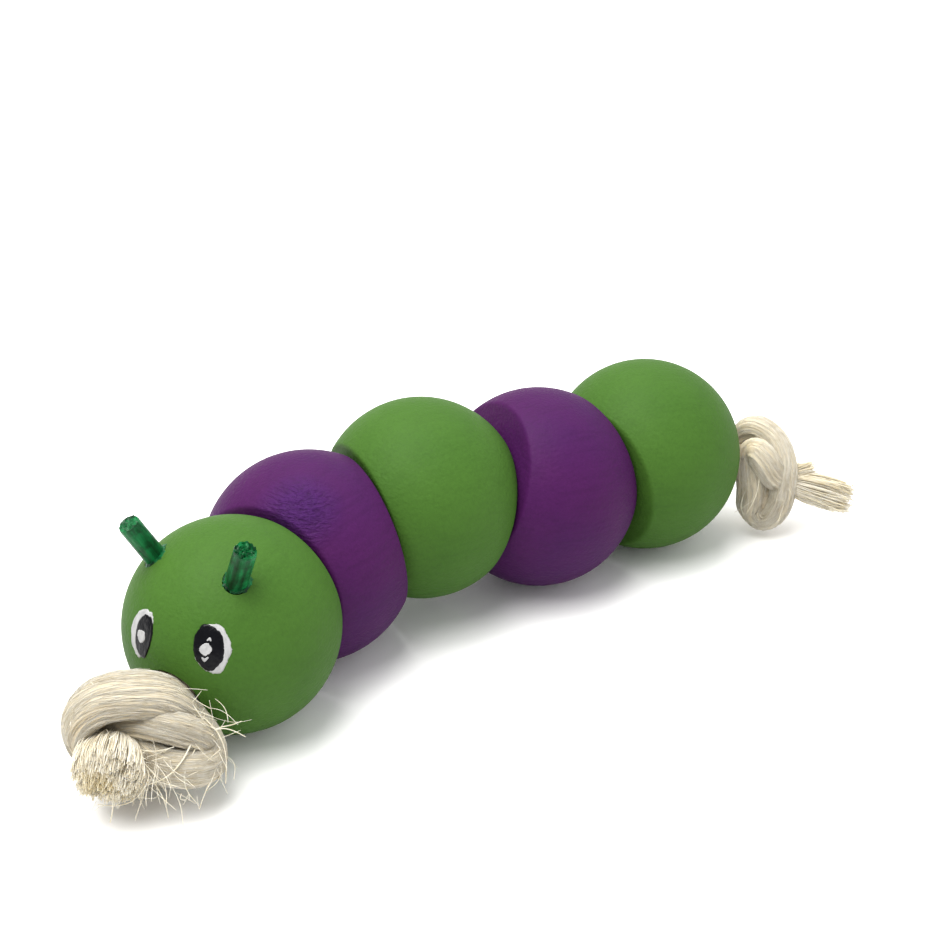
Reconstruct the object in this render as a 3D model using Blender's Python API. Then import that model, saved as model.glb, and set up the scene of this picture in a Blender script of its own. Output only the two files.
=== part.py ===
"""Wooden inchworm toy: five painted balls strung on a knotted sisal rope.

Frame: metres, +Z up, the floor is z = 0, the head is towards -X and the tail
towards +X.  The origin lies on the floor under the middle of the five balls.

The balls touch each other face to face.  Every ball has a flat milled where it
meets a neighbour, and the two flats of a middle ball are cut about 30 degrees
out of parallel, so the string of balls lies in a wave and not in a line.
Twisting one ball against the next slides flat on flat and changes the wave.
"""
import math

import bmesh
import bpy
from mathutils import Matrix, Vector

# ---------------------------------------------------------------- dimensions
MM = 0.001
BALL_D = 40.0 * MM               # ball diameter
BALL_R = BALL_D / 2
EDGE_BREAK = 0.6 * MM            # sanded edge round each flat
BORE_D = 12.0 * MM               # drilled hole for the rope
ROPE_D = 9.6 * MM                # sisal rope inside the bores
LINK_D = 9.4 * MM                # rope where it bends between two balls
LINK_CLEAR = 5.2 * MM            # rope bend centre to the end of a core
NECK = 1.2 * MM                  # a core ends this far inside the mouth or tail exit
PEG_D = 4.4 * MM                 # antenna peg
PEG_HOLE_D = 5.0 * MM
PEG_SEAT = 6.0 * MM              # how deep a peg sits in the head
PEG_OUT = 8.7 * MM               # how far it stands out of the head
FIT = 0.3 * MM                   # gap between touching pieces

# Radius of each ball: turned by hand, so they differ a little.
RADII = [BALL_R, BALL_R + 0.5 * MM, BALL_R, BALL_R + 0.3 * MM, BALL_R]
# Ball centres as the toy lies on the floor.  The third ball rides up a little.
CENTRES = [
    (-51.25 * MM, -4.9 * MM, RADII[0]),
    (-27.50 * MM, 5.0 * MM, RADII[1]),
    (-1.20 * MM, 3.9 * MM, RADII[2] + 4.4 * MM),
    (24.45 * MM, -1.9 * MM, RADII[3]),
    (51.25 * MM, -5.0 * MM, RADII[4]),
]
# Ball centre to its milled flats: the one towards the head, the one towards the tail.
FLATS = [
    (None, 12.4 * MM),
    (12.4 * MM, 13.2 * MM),
    (12.4 * MM, 12.4 * MM),
    (13.1 * MM, 12.6 * MM),
    (13.1 * MM, None),
]
# Direction across each meeting of flats, head to tail: azimuth, elevation.
GAP_AXES = [(19.6, 0.0), (-9.7, 7.4), (-11.9, -22.0), (2.9, 3.5)]
MOUTH = (202.7, -12.0)           # where the rope leaves the head
TAIL_EXIT = (-26.0, -12.0)       # where it leaves the tail ball
TAIL_HANG = (-30.7, -14.6)       # line from the tail ball to its knot

# Antennae: where each peg enters the head, and the way it leans.
ANTENNAE = {
    "antenna_left": ((145.6, 50.0), (167.0, 61.5)),
    "antenna_right": ((-114.0, 55.3), (-91.0, 65.0)),
}

BALL_SEGMENTS, BALL_RINGS = 32, 16

GREEN = (0.094, 0.202, 0.045)
PURPLE = (0.094, 0.032, 0.102)
STAIN = (0.010, 0.145, 0.040)
SISAL = (0.700, 0.610, 0.430)


# ------------------------------------------------------------------- helpers
def direction(az_el):
    az, el = (math.radians(a) for a in az_el)
    return Vector((math.cos(el) * math.cos(az), math.cos(el) * math.sin(az), math.sin(el)))


def material(name, colour, roughness):
    mat = bpy.data.materials.new(name)
    mat.use_nodes = True
    bsdf = mat.node_tree.nodes["Principled BSDF"]
    bsdf.inputs["Base Color"].default_value = (*colour, 1.0)
    bsdf.inputs["Roughness"].default_value = roughness
    bsdf.inputs["Metallic"].default_value = 0.0
    return mat


def frame_along(axis, up=Vector((0, 0, 1))):
    """Rotation whose local Z is the given axis and whose local X stays level."""
    z = axis.normalized()
    x = up.cross(z)
    x = x.normalized() if x.length > 1e-6 else Vector((1, 0, 0))
    return Matrix((x, z.cross(x), z)).transposed().to_4x4()


def placed(origin, axis):
    return Matrix.Translation(origin) @ frame_along(axis)


def add_object(name, bm, world, mat, parent=None, smooth_deg=35.0):
    mesh = bpy.data.meshes.new(name)
    bmesh.ops.recalc_face_normals(bm, faces=bm.faces)
    bm.to_mesh(mesh)
    bm.free()
    obj = bpy.data.objects.new(name, mesh)
    bpy.context.collection.objects.link(obj)
    if mat:
        mesh.materials.append(mat)
    mesh.shade_smooth()
    mesh.set_sharp_from_angle(angle=math.radians(smooth_deg))
    attach(obj, world, parent)
    return obj


def attach(obj, world, parent):
    if parent is None:
        obj.matrix_world = world
        return
    obj.parent = parent
    obj.matrix_parent_inverse = Matrix.Identity(4)
    obj.matrix_local = parent_world[parent.name].inverted() @ world


parent_world = {}


def pivot(name, world, parent=None):
    """An empty on a joint's axis; its Z is the axis."""
    empty = bpy.data.objects.new(name, None)
    empty.empty_display_size = 0.01
    bpy.context.collection.objects.link(empty)
    attach(empty, world, parent)
    parent_world[name] = world
    return empty


def rod(radius, length, segments, top_radius=None):
    """Closed round bar from z = 0 to z = length."""
    bm = bmesh.new()
    bmesh.ops.create_cone(bm, cap_ends=True, segments=segments, radius1=radius,
                          radius2=radius if top_radius is None else top_radius, depth=length)
    bmesh.ops.translate(bm, verts=bm.verts, vec=(0, 0, length / 2))
    return bm


def cutter(name, bm, world, parent):
    obj = add_object(name, bm, world, None, parent)
    obj.hide_render = True
    obj.display_type = "WIRE"
    return obj


def drill(target, tool):
    mod = target.modifiers.new("drill_" + tool.name, "BOOLEAN")
    mod.operation = "DIFFERENCE"
    mod.solver = "EXACT"
    mod.object = tool


def milled_ball(radius, flats):
    """A turned ball with one milled flat for each (outward direction, distance from the centre)."""
    bm = bmesh.new()
    bmesh.ops.create_uvsphere(bm, u_segments=BALL_SEGMENTS, v_segments=BALL_RINGS, radius=radius)
    for normal, offset in flats:
        geom = bm.verts[:] + bm.edges[:] + bm.faces[:]
        bmesh.ops.bisect_plane(bm, geom=geom, dist=1e-6, plane_co=normal * offset,
                               plane_no=normal, clear_outer=True)
        rim = [v for v in bm.verts if abs(v.co.dot(normal) - offset) < 2e-6]
        bmesh.ops.remove_doubles(bm, verts=rim, dist=0.9 * MM)
        edges = [e for e in bm.edges if e.is_boundary]
        flat = bmesh.ops.contextual_create(bm, geom=edges)["faces"]
        # break the edge: inset the flat, then drop the old rim back down the ball
        bmesh.ops.inset_region(bm, faces=flat, thickness=EDGE_BREAK, depth=0.0)
        inner = {v for f in flat for v in f.verts}
        for v in bm.verts:
            on_plane = abs(v.co.dot(normal) - offset) < 2e-6
            if on_plane and v not in inner:
                v.co -= normal * (0.5 * EDGE_BREAK)
    return bm


def blob(a, b, c, segments, rings):
    """Closed rounded lump with half-sizes a, b and c along X, Y and Z."""
    bm = bmesh.new()
    bmesh.ops.create_uvsphere(bm, u_segments=segments, v_segments=rings, radius=1.0)
    bmesh.ops.scale(bm, verts=bm.verts, vec=(a, b, c))
    return bm


# --------------------------------------------------------------------- build
def build():
    for obj in list(bpy.data.objects):
        bpy.data.objects.remove(obj, do_unlink=True)

    green = material("green_paint", GREEN, 0.55)
    purple = material("purple_paint", PURPLE, 0.55)
    stain = material("stained_wood", STAIN, 0.6)
    sisal = material("sisal", SISAL, 0.85)

    centres = [Vector(c) for c in CENTRES]
    axes = [direction(a) for a in GAP_AXES]
    # The rope crosses each gap half way between the middles of the two flats.
    crossings = [(centres[i] + centres[i + 1]) / 2 for i in range(4)]
    mouth_dir, tail_dir = direction(MOUTH), direction(TAIL_EXIT)
    crossings = [centres[0] + mouth_dir * BALL_R] + crossings + [centres[4] + tail_dir * BALL_R]

    # Joint pivots.  The third ball is the fixed one; the string of balls
    # branches from it towards the head and towards the tail.
    def hinge(name, point, axis, parent=None):
        return pivot(name, placed(point, axis), parent)

    bend, turn = {}, {}
    order = [(1, 2), (0, 1), (2, 3), (3, 4)]        # (gap index, ball beyond) below
    parents = {1: None, 0: "turn_2", 2: None, 3: "turn_4"}
    beyond = {1: 2, 0: 1, 2: 4, 3: 5}
    for gap, _ in order:
        point, axis = crossings[gap + 1], axes[gap]
        in_plane = (Vector((0, 0, 1)) - axis * axis.z).normalized()
        up = bpy.data.objects.get(parents[gap]) if parents[gap] else None
        bend[gap] = hinge("bend_%d" % beyond[gap], point, in_plane, up)
        turn[beyond[gap]] = hinge("turn_%d" % beyond[gap], point, axis, bend[gap])

    names = ["head_ball", "body_ball_2", "body_ball_3", "body_ball_4", "tail_ball"]
    paints = [green, purple, green, purple, green]
    balls = []
    for i, name in enumerate(names):
        flats = []
        if i > 0:
            flats.append((-axes[i - 1], FLATS[i][0]))
        if i < 4:
            flats.append((axes[i], FLATS[i][1]))
        holder = turn.get(i + 1)
        ball = add_object(name, milled_ball(RADII[i], flats), Matrix.Translation(centres[i]), paints[i], holder)
        start, end = crossings[i], crossings[i + 1]
        run = (end - start).normalized()
        reach = (end - start).length + 12 * MM
        tool = cutter("bore_tool_%d" % (i + 1), rod(BORE_D / 2, reach, 24),
                      placed(start - run * 6 * MM, run), holder)
        drill(ball, tool)
        balls.append(ball)

        # the rope through this ball
        first = start + run * (LINK_CLEAR if i > 0 else NECK)
        last = end - run * (LINK_CLEAR if i < 4 else NECK)
        add_object("rope_core_%d" % (i + 1), rod(ROPE_D / 2, (last - first).length, 16),
                   placed(first, run), sisal, holder)

    # the short bends of rope between the balls
    for gap in range(4):
        add_object("rope_link_%d" % (gap + 1), blob(LINK_D / 2, LINK_D / 2, LINK_D / 2, 16, 10),
                   placed(crossings[gap + 1], axes[gap]), sisal, bend[gap])

    # antennae: drilled seats and glued pegs
    head = turn[1]
    for name, (seat, lean) in ANTENNAE.items():
        root = centres[0] + direction(seat) * BALL_R
        way = direction(lean)
        tool = cutter(name + "_drill", rod(PEG_HOLE_D / 2, PEG_SEAT + 5 * MM, 16),
                      placed(root - way * PEG_SEAT, way), head)
        drill(balls[0], tool)
        add_object(name, rod(PEG_D / 2, PEG_SEAT - FIT + PEG_OUT, 16),
                   placed(root - way * (PEG_SEAT - FIT), way), stain, head)

    # the knots and the frayed end
    nose = hinge("turn_nose_knot", crossings[0], mouth_dir, head)
    level = Vector((mouth_dir.x, mouth_dir.y, 0)).normalized()
    knot_c = centres[0] + level * (1.42 * BALL_R)
    knot_c.z = 0.58 * BALL_R + 0.05 * MM
    add_object("nose_knot", blob(0.70 * BALL_R, 0.58 * BALL_R, 0.45 * BALL_R, 24, 14),
               placed(knot_c, level), sisal, nose)

    hang = direction(TAIL_HANG)
    tail = hinge("turn_tail_knot", centres[4] + hang * BALL_R, hang, turn[5])
    tail_c = centres[4] + hang * (1.387 * BALL_R)
    add_object("tail_knot", blob(0.62 * BALL_R, 0.62 * BALL_R, 0.355 * BALL_R, 24, 14),
               placed(tail_c, hang), sisal, tail)
    way = Vector((0.657, -0.636, -0.25)).normalized()
    start = tail_c + way * (0.40 * BALL_R)
    add_object("tail_tuft", rod(0.21 * BALL_R, 0.55 * BALL_R, 16, 0.27 * BALL_R),
               placed(start, way), sisal, tail)


build()
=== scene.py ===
"""Looks of the wooden inchworm toy: painted balls, painted eyes, stained pegs and a knotted sisal rope."""
import math

import bmesh
import bpy
import numpy as np
from mathutils import Matrix, Vector


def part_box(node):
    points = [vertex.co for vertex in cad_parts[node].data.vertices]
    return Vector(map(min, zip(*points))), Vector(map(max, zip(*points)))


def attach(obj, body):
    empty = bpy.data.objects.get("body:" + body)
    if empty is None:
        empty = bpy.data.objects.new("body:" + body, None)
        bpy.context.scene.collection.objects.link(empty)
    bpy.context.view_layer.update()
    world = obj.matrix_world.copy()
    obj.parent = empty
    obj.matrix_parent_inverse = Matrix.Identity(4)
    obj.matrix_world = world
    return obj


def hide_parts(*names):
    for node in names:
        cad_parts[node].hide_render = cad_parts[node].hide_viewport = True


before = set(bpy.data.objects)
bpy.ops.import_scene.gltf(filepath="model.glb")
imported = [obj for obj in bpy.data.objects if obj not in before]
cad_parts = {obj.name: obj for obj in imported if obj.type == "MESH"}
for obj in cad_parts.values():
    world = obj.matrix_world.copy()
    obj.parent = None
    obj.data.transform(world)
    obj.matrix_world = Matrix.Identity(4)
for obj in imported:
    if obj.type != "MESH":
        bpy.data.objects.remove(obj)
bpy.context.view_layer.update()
MM = 0.001
R = 20.0 * MM                       # ball radius
SCENE = bpy.context.scene
SCENE.view_settings.view_transform = "Standard"
SCENE.view_settings.look = "None"

# The same numbers as the CAD file.
CENTRES = [Vector(c) * MM for c in
           ((-51.25, -4.9, 20.0), (-27.5, 5.0, 20.5), (-1.2, 3.9, 24.4), (24.45, -1.9, 20.3), (51.25, -5.0, 20.0))]
RADII = [r * MM for r in (20.0, 20.5, 20.0, 20.3, 20.0)]
FLATS = [(None, 12.4 * MM), (12.4 * MM, 13.2 * MM), (12.4 * MM, 12.4 * MM), (13.1 * MM, 12.6 * MM), (13.1 * MM, None)]
BORE_D, ROPE_D = 12.0 * MM, 9.6 * MM
PEG_D, PEG_HOLE_D, PEG_SEAT, PEG_OUT = 4.4 * MM, 5.0 * MM, 6.0 * MM, 8.7 * MM


def direction(az, el):
    az, el = math.radians(az), math.radians(el)
    return Vector((math.cos(el) * math.cos(az), math.cos(el) * math.sin(az), math.sin(el)))


GAP_AXES = [direction(*a) for a in ((19.6, 0.0), (-9.7, 7.4), (-11.9, -22.0), (2.9, 3.5))]
MOUTH, TAIL_EXIT, TAIL_HANG = direction(202.7, -12.0), direction(-26.0, -12.0), direction(-30.7, -14.6)
ANTENNAE = {"antenna_left": (direction(145.6, 50.0), direction(167.0, 61.5)),
            "antenna_right": (direction(-114.0, 55.3), direction(-91.0, 65.0))}


# ============================================================== camera, light
CAM_AZ, CAM_EL, LENS = -38.63, 29.32, 75.19
CAM_AT = Vector((-0.20134, -0.26010, 0.21808))
look = Vector((-math.sin(math.radians(CAM_AZ)) * math.cos(math.radians(CAM_EL)),
               math.cos(math.radians(CAM_AZ)) * math.cos(math.radians(CAM_EL)),
               -math.sin(math.radians(CAM_EL))))
cam_data = bpy.data.cameras.new("camera")
cam_data.lens, cam_data.sensor_width = LENS, 36.0
cam_data.clip_start, cam_data.clip_end = 0.01, 50.0
camera = bpy.data.objects.new("camera", cam_data)
SCENE.collection.objects.link(camera)
camera.location = CAM_AT
camera.rotation_euler = look.to_track_quat("-Z", "Y").to_euler()
SCENE.camera = camera
VIEW_X = Vector((math.cos(math.radians(CAM_AZ)), math.sin(math.radians(CAM_AZ)), 0.0))
VIEW_Y = VIEW_X.cross(look)
VIEW_Z = -look


def area_light(name, at, towards, size, watts, colour=(1, 1, 1)):
    data = bpy.data.lights.new(name, "AREA")
    data.shape, data.size, data.energy, data.color = "DISK", size, watts, colour
    obj = bpy.data.objects.new(name, data)
    SCENE.collection.objects.link(obj)
    obj.location = at
    obj.rotation_euler = (Vector(towards) - Vector(at)).to_track_quat("-Z", "Y").to_euler()
    return obj


area_light("key", direction(180, 67) * 1.0, (0, 0, 0.02), 0.85, 11.7, (1.0, 0.99, 0.97))
area_light("top", direction(95, 76) * 1.0, (0, 0, 0.02), 0.85, 7.2, (1.0, 0.99, 0.97))

# a light tent: even all round, brighter behind the toy on the right and in front on the right
world = bpy.data.worlds.new("studio")
SCENE.world = world
world.use_nodes = True
tent = world.node_tree
background = tent.nodes["Background"]
background.inputs["Color"].default_value = (1.0, 1.0, 1.0, 1)


def tent_node(kind, operation, first, second):
    node = tent.nodes.new(kind)
    node.operation = operation
    for socket, value in zip(node.inputs, (first, second)):
        if isinstance(value, bpy.types.NodeSocket):
            tent.links.new(value, socket)
        else:
            socket.default_value = value
    return node.outputs["Value"]


around = tent.nodes.new("ShaderNodeTexCoord").outputs["Generated"]
strength = 0.42
for toward, amount in ((direction(40, 30), 0.78), (direction(-50, 30), 0.74)):
    facing = tent_node("ShaderNodeVectorMath", "DOT_PRODUCT", around, tuple(toward))
    facing = tent_node("ShaderNodeMath", "MAXIMUM", facing, 0.0)
    facing = tent_node("ShaderNodeMath", "POWER", facing, 2.0)
    facing = tent_node("ShaderNodeMath", "MULTIPLY", facing, amount)
    strength = tent_node("ShaderNodeMath", "ADD", facing, strength)
tent.links.new(strength, background.inputs["Strength"])


# ================================================================== materials
class Nodes:
    """Small helper for building a node tree."""

    def __init__(self, name):
        self.mat = bpy.data.materials.new(name)
        self.mat.use_nodes = True
        self.tree = self.mat.node_tree
        self.bsdf = self.tree.nodes["Principled BSDF"]

    def add(self, kind, _settings=None, **inputs):
        node = self.tree.nodes.new(kind)
        for key, value in (_settings or {}).items():
            setattr(node, key, value)
        for key, value in inputs.items():
            self.put(node, key, value)
        return node

    def put(self, node, key, value):
        socket = node.inputs[key if not key.startswith("i_") else int(key[2:])]
        if isinstance(value, bpy.types.NodeSocket):
            self.tree.links.new(value, socket)
        else:
            socket.default_value = value

    def set(self, key, value):
        self.put(self.bsdf, key, value)

    def math(self, op, a, b=0.0, clamp=False):
        n = self.add("ShaderNodeMath", {"operation": op, "use_clamp": clamp}, i_0=a, i_1=b)
        return n.outputs[0]

    def noise(self, vector, scale, detail=3.0, rough=0.55, distortion=0.0):
        n = self.add("ShaderNodeTexNoise", None, Vector=vector, Scale=scale, Detail=detail,
                     Roughness=rough, Distortion=distortion)
        return n.outputs["Fac"]

    def ramp(self, value, stops):
        n = self.add("ShaderNodeValToRGB", None, Fac=value)
        el = n.color_ramp.elements
        while len(el) < len(stops):
            el.new(0.5)
        for e, (pos, col) in zip(el, stops):
            e.position = pos
            e.color = (*col, 1.0) if len(col) == 3 else col
        return n.outputs["Color"]

    def mix(self, fac, a, b, blend="MIX"):
        n = self.add("ShaderNodeMix", {"data_type": "RGBA", "blend_type": blend})
        self.put(n, "i_0", fac)
        self.put(n, "i_6", a)
        self.put(n, "i_7", b)
        return n.outputs[2]

    def stretch(self, vector, scale):
        n = self.add("ShaderNodeMapping", None, Vector=vector)
        n.inputs["Scale"].default_value = scale
        return n.outputs["Vector"]

    def bump(self, height, strength, distance, normal=None):
        n = self.add("ShaderNodeBump", None, Height=height, Strength=strength, Distance=distance)
        if normal is not None:
            self.put(n, "Normal", normal)
        return n.outputs["Normal"]


def painted_wood(name, base, light, dark, grain=0.5, rough_at=None):
    """Matt paint on turned wood.  The grain runs along the object's own X."""
    m = Nodes(name)
    co = m.add("ShaderNodeAttribute", {"attribute_name": "grain"}).outputs["Vector"]
    patch = m.noise(co, 55.0, 3.0, 0.6)
    fine = m.noise(co, 1500.0, 3.0, 0.6)
    lines = m.noise(m.stretch(co, (60.0, 900.0, 900.0)), 1.0, 4.0, 0.65, 0.15)
    colour = m.ramp(patch, [(0.30, dark), (0.52, base), (0.74, light)])
    streak = m.ramp(lines, [(0.36, (0.80, 0.80, 0.80)), (0.50, (1, 1, 1)), (0.70, (1.07, 1.07, 1.07))])
    colour = m.mix(0.55 * grain + 0.15, colour, streak, "MULTIPLY")
    speck = m.ramp(fine, [(0.30, (0.86, 0.86, 0.86)), (0.5, (1, 1, 1)), (0.72, (1.10, 1.10, 1.10))])
    colour = m.mix(0.5, colour, speck, "MULTIPLY")
    m.set("Roughness", m.math("ADD", m.math("MULTIPLY", fine, 0.16), 0.48))
    m.set("Specular IOR Level", 0.09)
    peel = m.noise(co, 1300.0, 3.0, 0.6)
    pores = m.noise(m.stretch(co, (160.0, 2200.0, 2200.0)), 1.0, 3.0, 0.6, 0.2)
    n1 = m.bump(peel, 0.50, 0.0003)
    n2 = m.bump(lines, 0.35 * grain, 0.0002, n1)
    n3 = m.bump(pores, 0.22, 0.0001, n2)
    if rough_at is not None:
        # raised grain where the paint went on over unsanded wood
        here = m.add("ShaderNodeTexCoord").outputs["Object"]
        away = m.add("ShaderNodeVectorMath", {"operation": "DISTANCE"}, i_0=here, i_1=tuple(rough_at[0])).outputs["Value"]
        mask = m.ramp(m.math("DIVIDE", away, rough_at[1]), [(0.35, (1, 1, 1)), (1.0, (0, 0, 0))])
        fold = m.noise(m.stretch(here, (800.0, 420.0, 2600.0)), 1.0, 3.0, 0.6, 0.4)
        n3 = m.bump(m.math("MULTIPLY", fold, mask), 0.9, 0.0009, n3)
        blue = m.ramp(fold, [(0.38, (0.022, 0.0040, 0.052)), (0.56, (0.046, 0.0095, 0.098))])
        colour = m.mix(m.math("MULTIPLY", mask, 0.55), colour, blue, "MIX")
    m.set("Base Color", colour)
    m.set("Normal", n3)
    return m.mat


def brush_paint(name, colour, rough=0.32, gloss=0.2, relief=0.00015):
    m = Nodes(name)
    co = m.add("ShaderNodeTexCoord").outputs["Object"]
    stroke = m.noise(m.stretch(co, (500.0, 900.0, 500.0)), 1.0, 3.0, 0.6, 0.3)
    lo = tuple(c * 0.72 for c in colour)
    m.set("Base Color", m.ramp(stroke, [(0.25, lo), (0.55, colour)]))
    m.set("Roughness", rough)
    m.set("Specular IOR Level", gloss)
    m.set("Normal", m.bump(stroke, 0.6, relief))
    return m.mat


def stained_wood(name, along):
    """Peg stained dark green: streaks along the peg, nearly black in the pores."""
    m = Nodes(name)
    co = m.add("ShaderNodeTexCoord").outputs["Object"]
    lines = m.noise(m.stretch(co, (620.0, 620.0, 90.0)), 1.0, 4.0, 0.65, 0.5)
    patch = m.noise(co, 420.0, 3.0, 0.6)
    colour = m.ramp(lines, [(0.32, (0.001, 0.014, 0.004)), (0.46, (0.002, 0.072, 0.019)),
                            (0.60, (0.004, 0.140, 0.038)), (0.80, (0.016, 0.220, 0.064))])
    tone = m.ramp(patch, [(0.38, (0.22, 0.22, 0.22)), (0.55, (1, 1, 1))])
    m.set("Base Color", m.mix(0.75, colour, tone, "MULTIPLY"))
    m.set("Roughness", 0.34)
    m.set("Specular IOR Level", 0.20)
    m.set("Normal", m.bump(patch, 0.35, 0.0004, m.bump(lines, 0.45, 0.0003)))
    return m.mat


def sisal(name, shade):
    """Loose cream fibre.  UV: U across the strand, V along it, both in metres; 'ridge' is 0 in the creases."""
    m = Nodes(name)
    uv = m.add("ShaderNodeUVMap").outputs["UV"]
    ridge = m.add("ShaderNodeAttribute", {"attribute_name": "ridge"}).outputs["Fac"]
    hair = m.noise(m.stretch(uv, (5200.0, 130.0, 1.0)), 1.0, 4.0, 0.7, 0.1)
    bunch = m.noise(m.stretch(uv, (1100.0, 45.0, 1.0)), 1.0, 3.0, 0.6, 0.2)
    broad = m.noise(m.stretch(uv, (180.0, 60.0, 1.0)), 1.0, 2.0, 0.5)
    colour = m.ramp(hair, [(0.18, (0.54, 0.47, 0.34)), (0.34, (0.60, 0.545, 0.43)), (0.52, (0.635, 0.585, 0.48)),
                           (0.74, (0.67, 0.635, 0.54))])
    tone = m.ramp(bunch, [(0.24, (0.86, 0.79, 0.66)), (0.44, (0.98, 0.96, 0.92)), (0.66, (1.02, 1.01, 0.99))])
    colour = m.mix(0.75, colour, tone, "MULTIPLY")
    colour = m.mix(0.6, colour, m.ramp(broad, [(0.3, (0.84, 0.78, 0.66)), (0.6, (1.02, 1.01, 1.0))]), "MULTIPLY")
    # painted shade: the creases between fibre bunches (low ridge) are darkened to brown in the colour
    deep = m.ramp(ridge, [(0.0, (0.62, 0.50, 0.34)), (0.30, (0.93, 0.88, 0.80)), (0.6, (1, 1, 1))])
    colour = m.mix(0.8, colour, deep, "MULTIPLY")
    m.set("Base Color", m.mix(1.0, colour, (shade, 0.98 * shade, 0.915 * shade, 1.0), "MULTIPLY"))
    m.set("Roughness", 0.52)
    m.set("Specular IOR Level", 0.28)
    m.set("Sheen Weight", 0.12)
    m.set("Subsurface Weight", 0.25)
    m.set("Subsurface Radius", (1.0, 0.8, 0.5))
    m.set("Subsurface Scale", 0.0008)
    n1 = m.bump(bunch, 0.22, 0.0005)
    m.set("Normal", m.bump(hair, 0.30, 0.0002, n1))
    return m.mat


GREEN = painted_wood("green_paint", (0.047, 0.118, 0.0165), (0.051, 0.125, 0.0185), (0.042, 0.109, 0.015), 0.14)
PURPLE = painted_wood("purple_paint", (0.052, 0.0074, 0.065), (0.057, 0.0083, 0.067), (0.046, 0.0070, 0.063), 0.40)
PURPLE_WORN = painted_wood("purple_paint_raised_grain", (0.052, 0.0074, 0.065), (0.057, 0.0083, 0.067),
                           (0.046, 0.0070, 0.063), 0.40, ((-0.00736, -0.00833, 0.01722), 9.0 * MM))
WHITE = brush_paint("eye_white", (0.42, 0.42, 0.42), 0.5)
BLACK = brush_paint("eye_black", (0.002, 0.002, 0.0035), 0.30, 0.17, 0.0004)
STAIN = stained_wood("green_stain", None)
SISAL = sisal("sisal", 0.86)
SISAL_TAIL = sisal("sisal_tail", 1.0)


# ============================================================== mesh helpers
def new_object(name, mesh, material, body, matrix=None):
    obj = bpy.data.objects.new(name, mesh)
    SCENE.collection.objects.link(obj)
    if matrix is not None:
        obj.matrix_world = matrix
    mesh.materials.clear()
    mesh.materials.append(material)
    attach(obj, body)
    return obj


def applied(obj):
    """Bake an object's modifiers into its mesh."""
    graph = bpy.context.evaluated_depsgraph_get()
    mesh = bpy.data.meshes.new_from_object(obj.evaluated_get(graph))
    old = obj.data
    obj.modifiers.clear()
    obj.data = mesh
    bpy.data.meshes.remove(old)
    return mesh


def frame_along(axis, up=Vector((0, 0, 1))):
    z = axis.normalized()
    x = up.cross(z)
    x = x.normalized() if x.length > 1e-6 else Vector((1, 0, 0))
    return Matrix((x, z.cross(x), z)).transposed().to_4x4()


def smooth_noise(seed):
    """Repeatable 1-D and 2-D value noise in -1..1."""
    rng = np.random.default_rng(seed)
    table = rng.uniform(-1, 1, (257, 257))

    def at(x, y=0.0):
        x, y = np.broadcast_arrays(np.asarray(x, float), np.asarray(y, float))
        xi, yi = np.floor(x).astype(int), np.floor(y).astype(int)
        fx, fy = x - xi, y - yi
        fx, fy = fx * fx * (3 - 2 * fx), fy * fy * (3 - 2 * fy)
        a, b = table[xi % 257, yi % 257], table[(xi + 1) % 257, yi % 257]
        c, d = table[xi % 257, (yi + 1) % 257], table[(xi + 1) % 257, (yi + 1) % 257]
        return (a * (1 - fx) + b * fx) * (1 - fy) + (c * (1 - fx) + d * fx) * fy

    return at


# ==================================================================== balls
def turned_ball(name, node, centre, radius, flats, bores, material, body, along):
    """A painted ball: a fine sphere whose flats meet it in a small sanded round, drilled for the rope."""
    grain_frame = np.array((frame_along(along) @ Matrix.Rotation(math.radians(90), 4, "Y")).to_3x3())
    place = Matrix.Translation(centre)
    local = [(n.normalized(), offset, math.acos(offset / radius)) for n, offset in flats]
    bm = bmesh.new()
    bmesh.ops.create_icosphere(bm, subdivisions=6, radius=1.0)
    band = math.radians(2.9)
    near = [e for e in bm.edges
            if any(all(abs(v.co.normalized().angle(n) - rim) < band for v in e.verts) for n, _, rim in local)]
    bmesh.ops.subdivide_edges(bm, edges=near, cuts=3, use_grid_fill=True)
    round_off = 0.60 * MM
    for v in bm.verts:
        u = v.co.normalized()
        r = radius
        for n, offset, _ in local:
            c = u.dot(n)
            if c > 0.05:
                p = offset / c
                h = max(round_off - abs(r - p), 0.0) / round_off
                r = min(r, p) - h * h * round_off / 4
        v.co = u * r
    mesh = bpy.data.meshes.new(name)
    bm.to_mesh(mesh)
    bm.free()
    obj = new_object(name, mesh, material, body, place)
    tools = []
    for start, end, bore in bores:
        axis = (end - start)
        tool_bm = bmesh.new()
        bmesh.ops.create_cone(tool_bm, cap_ends=True, segments=64, radius1=bore, radius2=bore, depth=axis.length)
        tool_mesh = bpy.data.meshes.new("tool")
        tool_bm.to_mesh(tool_mesh)
        tool_bm.free()
        tool = bpy.data.objects.new("tool", tool_mesh)
        SCENE.collection.objects.link(tool)
        tool.matrix_world = Matrix.Translation((start + end) / 2) @ frame_along(axis)
        mod = obj.modifiers.new("bore", "BOOLEAN")
        mod.operation, mod.solver, mod.object = "DIFFERENCE", "EXACT", tool
        tools.append(tool)
    bpy.context.view_layer.update()
    mesh = applied(obj)
    for tool in tools:
        bpy.data.objects.remove(tool, do_unlink=True)
    mesh.materials.clear()
    mesh.materials.append(material)
    mesh.shade_smooth()
    mesh.set_sharp_from_angle(angle=math.radians(40))
    # grain coordinates in metres: first across, last two round the bore's direction
    co = np.empty(len(mesh.vertices) * 3, np.float32)
    mesh.vertices.foreach_get("co", co)
    grain = mesh.attributes.new("grain", "FLOAT_VECTOR", "POINT")
    grain.data.foreach_set("vector", (co.reshape(-1, 3) @ grain_frame).astype(np.float32).reshape(-1))
    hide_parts(node)
    return obj


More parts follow.
